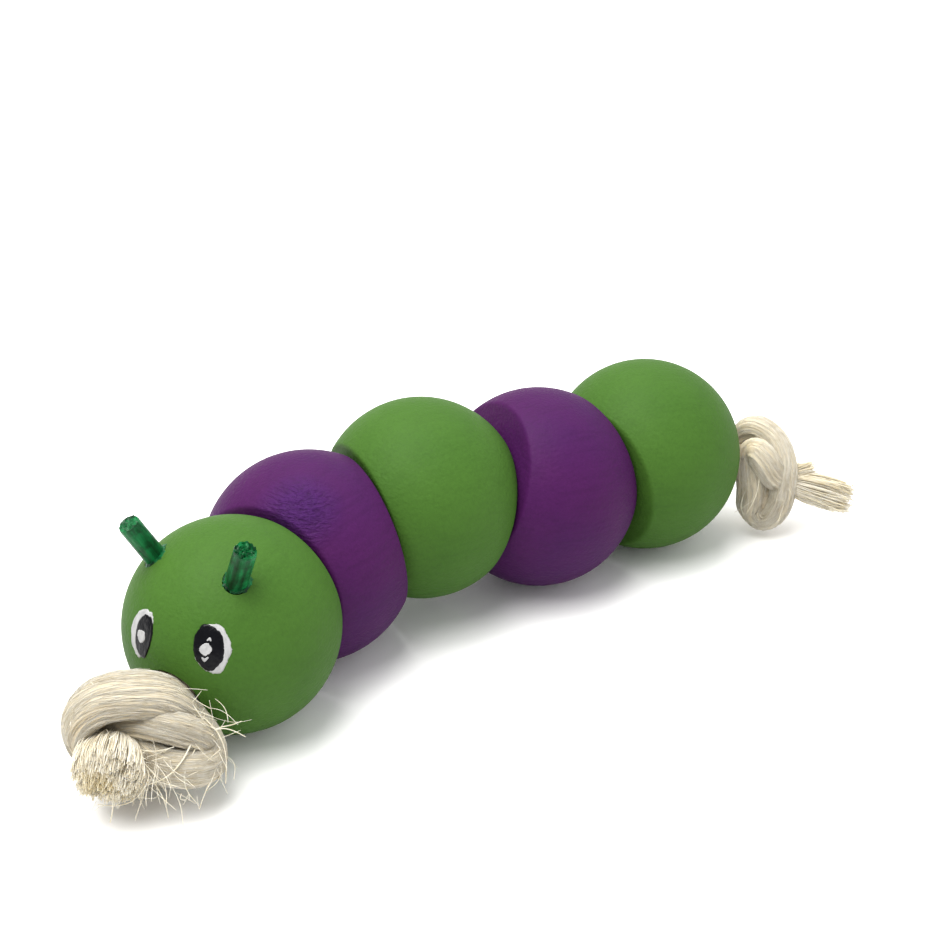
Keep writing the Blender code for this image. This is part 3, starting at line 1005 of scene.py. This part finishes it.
def heart(name, knot, middle, radii, seed, body):
    """The turns of rope hidden in the middle of the knot, as one packed lump, coloured dark brown as painted shade
    where it shows through the gaps.
    """
    wob = smooth_noise(seed)
    bm = bmesh.new()
    bmesh.ops.create_icosphere(bm, subdivisions=5, radius=1.0)
    u = np.array([tuple(v.co) for v in bm.verts])
    lump = 1 + 0.07 * wob(40 + 3 * u[:, 0], 40 + 3 * u[:, 1]) + 0.05 * wob(90 + 14 * u[:, 1], 90 + 5 * u[:, 2])
    pts = knot.clear(knot.world(np.array(middle) + u * lump[:, None] * np.array(radii)), 0.2)
    for v, q in zip(bm.verts, pts * MM):
        v.co = tuple(q)
    mesh = bpy.data.meshes.new(name)
    bm.to_mesh(mesh)
    bm.free()
    mesh.shade_smooth()
    return new_object(name, mesh, sisal_painted_shade.mat, body)


nose_heart = heart("nose_knot_heart", nose, (-1.2, 0.6, -1.3), (8.8, 5.2, 4.4), 97, "nose_knot")
NOSE_LOOSE = [
    (0.17, [(11.0, 5.0, 2.0), (13.6, 2.6, 2.5), (14.9, -1.2, 2.0), (14.6, -6.6, 0.5)]),
    (0.17, [(11.0, 5.0, 1.5), (9.3, 1.0, 5.6), (8.2, -1.6, 6.2), (5.0, -5.0, 6.2), (1.4, -6.0, 6.0)]),
    (0.15, [(10.8, 4.4, 1.5), (10.2, 0.4, 4.4), (8.4, -3.0, 6.0), (8.0, -6.4, 5.0), (9.6, -9.0, 3.2), (10.2, -9.9, 2.6)]),
    (0.15, [(12.4, -0.5, 3.2), (12.6, -5.0, 3.2), (11.0, -8.4, 2.6), (10.3, -10.6, 2.0)]),
    (0.15, [(11.5, 1.4, 2.6), (13.2, 3.6, 1.2), (15.2, 3.0, 0.0), (17.2, 4.0, -0.8)]),
    (0.15, [(11.4, 2.0, 2.6), (13.6, 3.4, 1.0), (16.0, 2.6, 0.2), (18.0, 1.4, 0.0)]),
    (0.13, [(7.8, 8.8, 1.5), (9.6, 6.4, 1.6), (11.0, 5.0, 2.0), (11.5, 3.2, 2.4)]),
    (0.13, [(8.6, 8.4, 0.6), (10.0, 7.2, 0.2), (12.0, 6.2, -0.4)]),
    (0.14, [(1.0, -1.2, 5.8), (1.8, -3.4, 6.4), (3.2, -5.6, 6.2), (4.6, -8.4, 4.6), (5.0, -12.2, 2.2)]),
    (0.14, [(0.0, -0.6, 5.8), (1.8, -2.6, 6.4), (3.6, -4.4, 6.2), (5.0, -7.2, 5.4)]),
    (0.13, [(-0.8, 0.4, 5.6), (1.8, -0.2, 6.2), (3.4, -0.4, 6.2), (6.6, 0.6, 6.4)]),
    (0.14, [(-3.6, -8.2, 7.4), (-4.0, -11.0, 5.6), (-4.6, -12.6, 4.6)]),
    (0.13, [(1.6, -6.0, 6.2), (0.2, -8.6, 5.8), (-3.0, -9.6, 5.8), (-6.6, -9.4, 5.2)]),
    (0.13, [(-8.4, 11.6, 3.4), (-7.2, 10.4, 4.2), (-6.0, 9.6, 5.0)]),
    (0.12, [(-7.0, 10.6, 4.0), (-3.6, 11.4, 4.4), (-1.6, 12.2, 4.0), (-0.9, 12.5, 3.8), (-1.2, 11.9, 4.0)]),
    (0.12, [(-5.0, 3.6, 6.0), (-3.4, 1.2, 6.8), (-3.0, -3.4, 8.0)]),
    (0.12, [(-3.8, 3.0, 6.2), (-2.0, -0.4, 6.8), (-1.2, -2.4, 7.0)]),
    (0.12, [(7.6, -7.6, 4.6), (6.6, -8.6, 4.0), (7.0, -9.6, 3.6), (8.2, -8.8, 4.0)]),
    (0.12, [(13.8, -2.0, 1.4), (14.3, -4.6, 1.4), (13.6, -6.4, 1.6), (11.4, -7.6, 2.6)]),
    (0.11, [(-11.2, 7.4, 3.2), (-12.6, 3.4, 3.4), (-12.0, -0.6, 2.6), (-10.8, -1.8, 3.0)]),
]
NOSE_LOOSE += tangle(501, (3.0, -3.2, 5.4), (1.5, 2.2, 0.7), (0.6, -1.0, 0.2), 34, 6.5, (0.05, 0.09))
NOSE_LOOSE += tangle(502, (10.4, 5.4, 1.6), (1.6, 2.4, 0.6), (0.9, -0.6, 0.2), 20, 6.0, (0.05, 0.085))
NOSE_LOOSE += tangle(503, (8.0, -5.2, 3.8), (3.0, 1.0, 0.8), (0.1, -1.0, 0.1), 12, 3.4, (0.05, 0.08))
NOSE_LOOSE += tangle(504, (-4.6, -9.2, 6.6), (3.4, 0.9, 0.9), (0.2, -0.7, 0.5), 16, 2.0, (0.045, 0.07))
NOSE_LOOSE += tangle(505, (-9.6, 7.0, 3.6), (2.0, 2.6, 0.5), (-0.4, 0.6, 0.3), 10, 5.0, (0.045, 0.07))
NOSE_LOOSE += tangle(506, (13.0, -1.0, 2.0), (1.0, 2.6, 0.8), (0.4, -0.9, 0.1), 14, 6.0, (0.05, 0.08))
nose_loose = new_object("nose_knot_strays", loose("nose_knot_strays", nose, NOSE_LOOSE, 41, 0, 0), TINTED, "nose_knot")
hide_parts("nose_knot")

# ---- tail knot
TAIL_MID = Vector((74.33, -18.70, 13.01)) * MM
TAIL = [
    (-7.49, 2.75, 0.89, 4.0, 4.0, (0.2, 0.5, 0.8)),
    (-4.6, 3.6, -2.6, 3.6, 3.2, (0.0, 0.6, -0.6)),
    (-4.6, 8.0, -2.0, 3.4, 2.7, (-0.2, 1.0, 0.1)),
    (-2.0, 10.0, 0.0, 3.5, 2.6, (0.1, 0.9, 0.4)),
    (1.9, 7.0, 1.6, 3.6, 2.5, (0.6, 0.7, 0.5)),
    (3.5, 2.2, 2.2, 3.4, 2.4, (0.8, 0.3, 0.6)),
    (3.5, -2.6, 2.0, 3.0, 2.4, (0.6, 0.0, 0.8)),
    (2.9, -6.6, 1.0, 2.8, 2.4, (0.5, -0.4, 0.75)),
    (0.2, -9.9, -1.0, 2.6, 2.2, (0.1, -0.9, 0.4)),
    (-2.9, -8.0, -1.2, 2.7, 2.2, (-0.4, -0.7, 0.5)),
    (-3.1, -3.4, 1.0, 2.9, 2.3, (-0.3, -0.2, 0.95)),
    (-3.3, 1.6, 2.6, 3.1, 2.3, (-0.5, 0.0, 0.9)),
    (-3.2, 5.0, 4.0, 3.0, 2.3, (-0.3, 0.4, 0.9)),
    (-1.0, 3.0, 5.2, 3.0, 2.3, (0.1, 0.2, 1.0)),
    (1.2, -0.2, 4.0, 2.9, 2.2, (0.2, 0.1, 1.0)),
    (3.6, -1.8, 0.6, 2.6, 2.3, (0.1, 0.6, 0.8)),
    (6.4, -1.8, -0.6, 2.6, 2.2, (0.0, 0.8, 0.6)),
    (9.0, -2.4, -0.6, 2.6, 2.0, (0.0, 0.7, 0.7)),
]
# the knot turns about the line it hangs on, so only rope close to that line may enter the ball
tail_way = np.array(tuple(TAIL_HANG))
tail = Knot(TAIL_MID, TAIL, 57, (TAIL_C, 20.0), (TAIL_C, tail_way), 3.7)
tail_rope = new_object("tail_knot_rope", rope_mesh("tail_knot_rope", tail), SISAL_TAIL, "tail_knot")
tail_hair = new_object("tail_knot_fibres", surface_fibres("tail_knot_fibres", tail, 1000, 61, 0.98), TINTED, "tail_knot")
tail_brush = new_object("tail_knot_cut_end", brush("tail_knot_cut_end", tail, [
    ((5.2, -1.9, 0.2), (16.0, -5.0, -0.2), 2.7, 2.4, 800, 2.4, 1.7, (0.06, 0.13), 0.0, -0.5),
    ((5.2, -0.4, 0.2), (9.7, 0.7, -0.2), 1.8, 1.9, 260, 1.0, 0.3, (0.06, 0.13), 0.2, 0.0),
    ((4.4, -2.6, 1.0), (13.6, -7.0, 0.2), 1.2, 0.8, 60, 2.6, 0.6, (0.05, 0.10), 0.0, 0.0)], 71), TINTED, "tail_knot")
tail_heart = heart("tail_knot_heart", tail, (0.0, -2.6, 0.2), (2.9, 6.2, 1.9), 98, "tail_knot")
TAIL_LOOSE = [
    (0.14, [(6.5, -3.4, 1.0), (11.0, -5.6, 0.8), (17.4, -8.8, 0.6)]),
    (0.13, [(6.5, -2.8, 1.4), (12.0, -4.6, 1.2), (18.4, -6.8, 0.8)]),
    (0.14, [(-2.0, 1.0, 5.4), (-2.4, -4.0, 5.2), (-4.6, -8.6, 3.6)]),
    (0.12, [(-4.4, -3.0, 3.2), (-6.0, -7.0, 2.6), (-5.0, -9.0, 2.6)]),
    (0.12, [(5.4, 6.0, 2.6), (6.2, 5.4, 2.8), (7.2, 5.3, 2.6)]),
    (0.12, [(3.2, -6.8, 4.4), (2.4, -9.0, 4.0), (2.0, -10.6, 3.6)]),
]
TAIL_LOOSE += tangle(601, (14.0, -4.6, 0.4), (1.6, 1.2, 0.8), (1.0, -0.4, 0.1), 20, 5.0, (0.05, 0.085))
TAIL_LOOSE += tangle(602, (1.0, 2.0, 4.0), (3.0, 5.0, 0.6), (0.4, -0.6, 0.3), 14, 5.0, (0.04, 0.065))
tail_loose = new_object("tail_knot_strays", loose("tail_knot_strays", tail, TAIL_LOOSE, 81, 0, 0), TINTED, "tail_knot")
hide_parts("tail_knot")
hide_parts("tail_tuft")
print("cord lengths (mm):", round(nose.length, 1), round(tail.length, 1))

# ====================================================== rope inside the balls
# the rope inside the balls gets the same dark brown sisal: painted shade where it shows between the balls
for node in ["rope_core_%d" % k for k in range(1, 6)] + ["rope_link_%d" % k for k in range(1, 5)]:
    obj = bpy.data.objects[node]
    obj.data.materials.clear()
    obj.data.materials.append(sisal_painted_shade.mat)

# ==================================================================== ground
def ground(name, z, white):
    mesh = bpy.data.meshes.new(name)
    mesh.from_pydata([(-3, -3, z), (3, -3, z), (3, 3, z), (-3, 3, z)], [], [(0, 1, 2, 3)])
    obj = bpy.data.objects.new(name, mesh)
    SCENE.collection.objects.link(obj)
    surface = Nodes(name)
    surface.set("Base Color", (white, white, white, 1))
    surface.set("Roughness", 0.9)
    surface.set("Specular IOR Level", 0.0)
    mesh.materials.append(surface.mat)
    return obj


# the white sheet itself, and the light it throws back up at the toy
sheet = ground("floor", 0.0, 1.0)
sheet.visible_diffuse = sheet.visible_glossy = sheet.visible_shadow = False
bounce = ground("floor_bounce", -0.5 * MM, 0.78)
bounce.visible_camera = False

bpy.context.view_layer.update()
